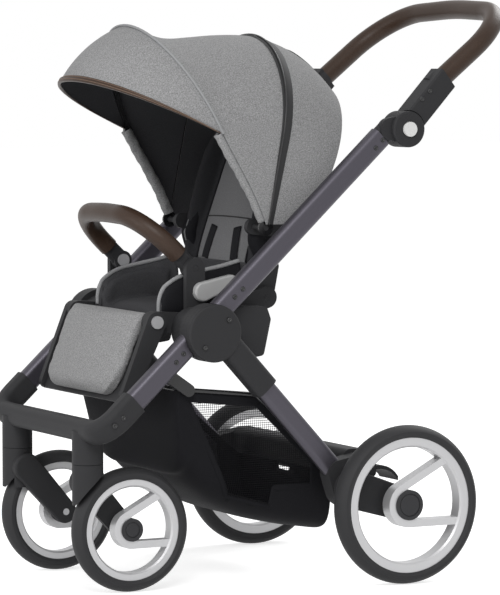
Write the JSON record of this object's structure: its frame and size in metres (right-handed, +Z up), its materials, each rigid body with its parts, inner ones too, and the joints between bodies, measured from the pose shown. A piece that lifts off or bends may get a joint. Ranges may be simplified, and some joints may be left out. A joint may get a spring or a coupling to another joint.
{
  "type": "baby stroller",
  "caption": "Folding push-along stroller: slanted side beams, big rear wheels, swivelling front casters, sit-up seat with fan canopy, leg rest, bumper bar and a mesh basket.",
  "frame": {"origin": "on the floor, under the middle of the whole stroller", "axes": "+X forward (the way it is pushed and the child faces), +Y to the child's left, +Z up"},
  "size_m": [0.865, 0.619, 1.0293],
  "materials": {
    "tube": "satin anodised, dark grey with a violet cast",
    "dark_plastic": "fine matte",
    "tyre": "satin",
    "silver_rim": "satin silver",
    "hub_cap": "matte",
    "steel": "plain",
    "grey_fabric": "light grey melange weave",
    "dark_fabric": "charcoal lining",
    "black_fabric": "black woven cloth and mesh",
    "black_steel": "gloss black",
    "brown_leather": "dark brown, smooth",
    "white_button": "satin white",
    "grey_button": "satin grey",
    "pale_lever": "satin pale grey"
  },
  "bodies": {
    "chassis": {"left_front_leg": "tube", "right_front_leg": "tube", "left_front_corner": "dark_plastic", "right_front_corner": "dark_plastic", "front_crossbar": "dark_plastic", "hub_plates": "dark_plastic", "hub_pins": "steel", "seat_mounts": "dark_plastic", "seat_frame": "dark_plastic", "seat_cushion": "dark_fabric", "basket": "black_fabric", "basket_rim": "black_steel"},
    "push_bar": {"left_upper_tube": "tube", "right_upper_tube": "tube", "hub_knuckles": "dark_plastic", "handle_bases": "dark_plastic"},
    "handle": {"handle_arms": "dark_plastic", "handle_grip": "brown_leather"},
    "rear_frame": {"left_hub_cover": "dark_plastic", "right_hub_cover": "dark_plastic", "left_rear_leg": "tube", "right_rear_leg": "tube", "rear_arms": "dark_plastic", "rear_axles": "steel", "rear_cross_member": "dark_plastic"},
    "brake": {"brake_pedal": "dark_plastic"},
    "backrest": {"backrest_frame": "dark_plastic", "back_cushion": "dark_fabric", "canopy_rear": "grey_fabric"},
    "canopy": {"canopy_front_bow": "black_steel", "canopy_front": "grey_fabric"},
    "visor": {"canopy_visor": "grey_fabric"},
    "leg_rest": {"leg_rest_frame": "dark_plastic", "leg_rest_pad": "grey_fabric"},
    "bumper": {"bumper_bar": "brown_leather", "bumper_ends": "dark_plastic"},
    "left_handle_button": {"left_handle_button": "white_button"},
    "left_caster": {"left_caster_fork": "dark_plastic", "left_caster_pins": "steel"},
    "left_front_wheel": {"left_front_tyre": "tyre", "left_front_rim": "silver_rim", "left_front_wheel_hub": "hub_cap"},
    "left_rear_wheel": {"left_rear_tyre": "tyre", "left_rear_rim": "silver_rim", "left_rear_wheel_hub": "hub_cap"},
    "left_leg_rest_button": {"left_leg_rest_button": "grey_button"},
    "left_bumper_button": {"left_bumper_button": "grey_button"},
    "left_seat_lever": {"left_seat_lever": "pale_lever"},
    "right_handle_button": {"right_handle_button": "white_button"},
    "right_caster": {"right_caster_fork": "dark_plastic", "right_caster_pins": "steel"},
    "right_front_wheel": {"right_front_tyre": "tyre", "right_front_rim": "silver_rim", "right_front_wheel_hub": "hub_cap"},
    "right_rear_wheel": {"right_rear_tyre": "tyre", "right_rear_rim": "silver_rim", "right_rear_wheel_hub": "hub_cap"},
    "right_leg_rest_button": {"right_leg_rest_button": "grey_button"},
    "right_bumper_button": {"right_bumper_button": "grey_button"},
    "right_seat_lever": {"right_seat_lever": "pale_lever"}
  },
  "joints": [
    {"name": "push_bar_fold", "type": "hinge", "parent": "chassis", "child": "push_bar", "pos_m": [0.2084, 0, 0.4506], "axis": [0, -1, 0], "range_deg": [0, 68]},
    {"name": "rear_leg_fold", "type": "hinge", "parent": "chassis", "child": "rear_frame", "pos_m": [0.2084, 0, 0.4506], "axis": [0, -1, 0], "range_deg": [0, 34], "deforming": ["basket"]},
    {"name": "handle_tilt", "type": "hinge", "parent": "push_bar", "child": "handle", "pos_m": [-0.17699, 0, 0.79685], "axis": [0, 1, 0], "range_deg": [-60, 45]},
    {"name": "brake_press", "type": "hinge", "parent": "rear_frame", "child": "brake", "pos_m": [-0.1231, 0.162, 0.19], "axis": [0, -1, 0], "range_deg": [0, 20]},
    {"name": "backrest_recline", "type": "hinge", "parent": "chassis", "child": "backrest", "pos_m": [0.0609, 0, 0.503], "axis": [0, -1, 0], "range_deg": [0, 35]},
    {"name": "canopy_fold", "type": "hinge", "parent": "backrest", "child": "canopy", "pos_m": [0.0793, 0, 0.6266], "axis": [0, -1, 0], "range_deg": [0, 32], "deforming": ["canopy_front"]},
    {"name": "visor_fold", "type": "hinge", "parent": "canopy", "child": "visor", "pos_m": [0.16472, 0, 0.7907], "axis": [0, -1, 0], "range_deg": [0, 30], "deforming": ["canopy_visor"]},
    {"name": "leg_rest_raise", "type": "hinge", "parent": "chassis", "child": "leg_rest", "pos_m": [0.2819, 0, 0.467], "axis": [0, -1, 0], "range_deg": [0, 60]},
    {"name": "bumper_tilt", "type": "hinge", "parent": "chassis", "child": "bumper", "pos_m": [0.2008, 0, 0.5577], "axis": [0, 1, 0], "range_deg": [-20, 40]},
    {"name": "left_handle_press", "type": "slide", "parent": "push_bar", "child": "left_handle_button", "axis": [0, -1, 0], "range_m": [0, 0.004], "stiffness_N_per_m": 500},
    {"name": "left_leg_rest_press", "type": "slide", "parent": "leg_rest", "child": "left_leg_rest_button", "axis": [0, -1, 0], "range_m": [0, 0.0035], "stiffness_N_per_m": 500},
    {"name": "left_bumper_press", "type": "slide", "parent": "bumper", "child": "left_bumper_button", "axis": [0, 1, 0], "range_m": [0, 0.0035], "stiffness_N_per_m": 500},
    {"name": "left_seat_lever_lift", "type": "hinge", "parent": "chassis", "child": "left_seat_lever", "pos_m": [0.1899, 0.1683, 0.517], "axis": [0, 1, 0], "range_deg": [0, 12]},
    {"name": "left_caster_swivel", "type": "hinge", "parent": "chassis", "child": "left_caster", "pos_m": [0.4029, 0.151, 0.2265], "axis": [0, 0, 1], "continuous": true},
    {"name": "left_front_wheel_spin", "type": "hinge", "parent": "left_caster", "child": "left_front_wheel", "pos_m": [0.3239, 0.151, 0.1085], "axis": [0, 1, 0], "continuous": true},
    {"name": "left_rear_wheel_spin", "type": "hinge", "parent": "rear_frame", "child": "left_rear_wheel", "pos_m": [-0.1471, 0.289, 0.14], "axis": [0, 1, 0], "continuous": true},
    {"name": "right_handle_press", "type": "slide", "parent": "push_bar", "child": "right_handle_button", "axis": [0, 1, 0], "range_m": [0, 0.004], "stiffness_N_per_m": 500},
    {"name": "right_leg_rest_press", "type": "slide", "parent": "leg_rest", "child": "right_leg_rest_button", "axis": [0, 1, 0], "range_m": [0, 0.0035], "stiffness_N_per_m": 500},
    {"name": "right_bumper_press", "type": "slide", "parent": "bumper", "child": "right_bumper_button", "axis": [0, -1, 0], "range_m": [0, 0.0035], "stiffness_N_per_m": 500},
    {"name": "right_seat_lever_lift", "type": "hinge", "parent": "chassis", "child": "right_seat_lever", "pos_m": [0.1899, -0.1683, 0.517], "axis": [0, 1, 0], "range_deg": [0, 12]},
    {"name": "right_caster_swivel", "type": "hinge", "parent": "chassis", "child": "right_caster", "pos_m": [0.4029, -0.151, 0.2265], "axis": [0, 0, 1], "continuous": true},
    {"name": "right_front_wheel_spin", "type": "hinge", "parent": "right_caster", "child": "right_front_wheel", "pos_m": [0.3239, -0.151, 0.1085], "axis": [0, 1, 0], "continuous": true},
    {"name": "right_rear_wheel_spin", "type": "hinge", "parent": "rear_frame", "child": "right_rear_wheel", "pos_m": [-0.1471, -0.289, 0.14], "axis": [0, 1, 0], "continuous": true}
  ],
  "couplings": [
    {"joint": "rear_leg_fold", "follows": "push_bar_fold", "ratio": 0.5}
  ]
}
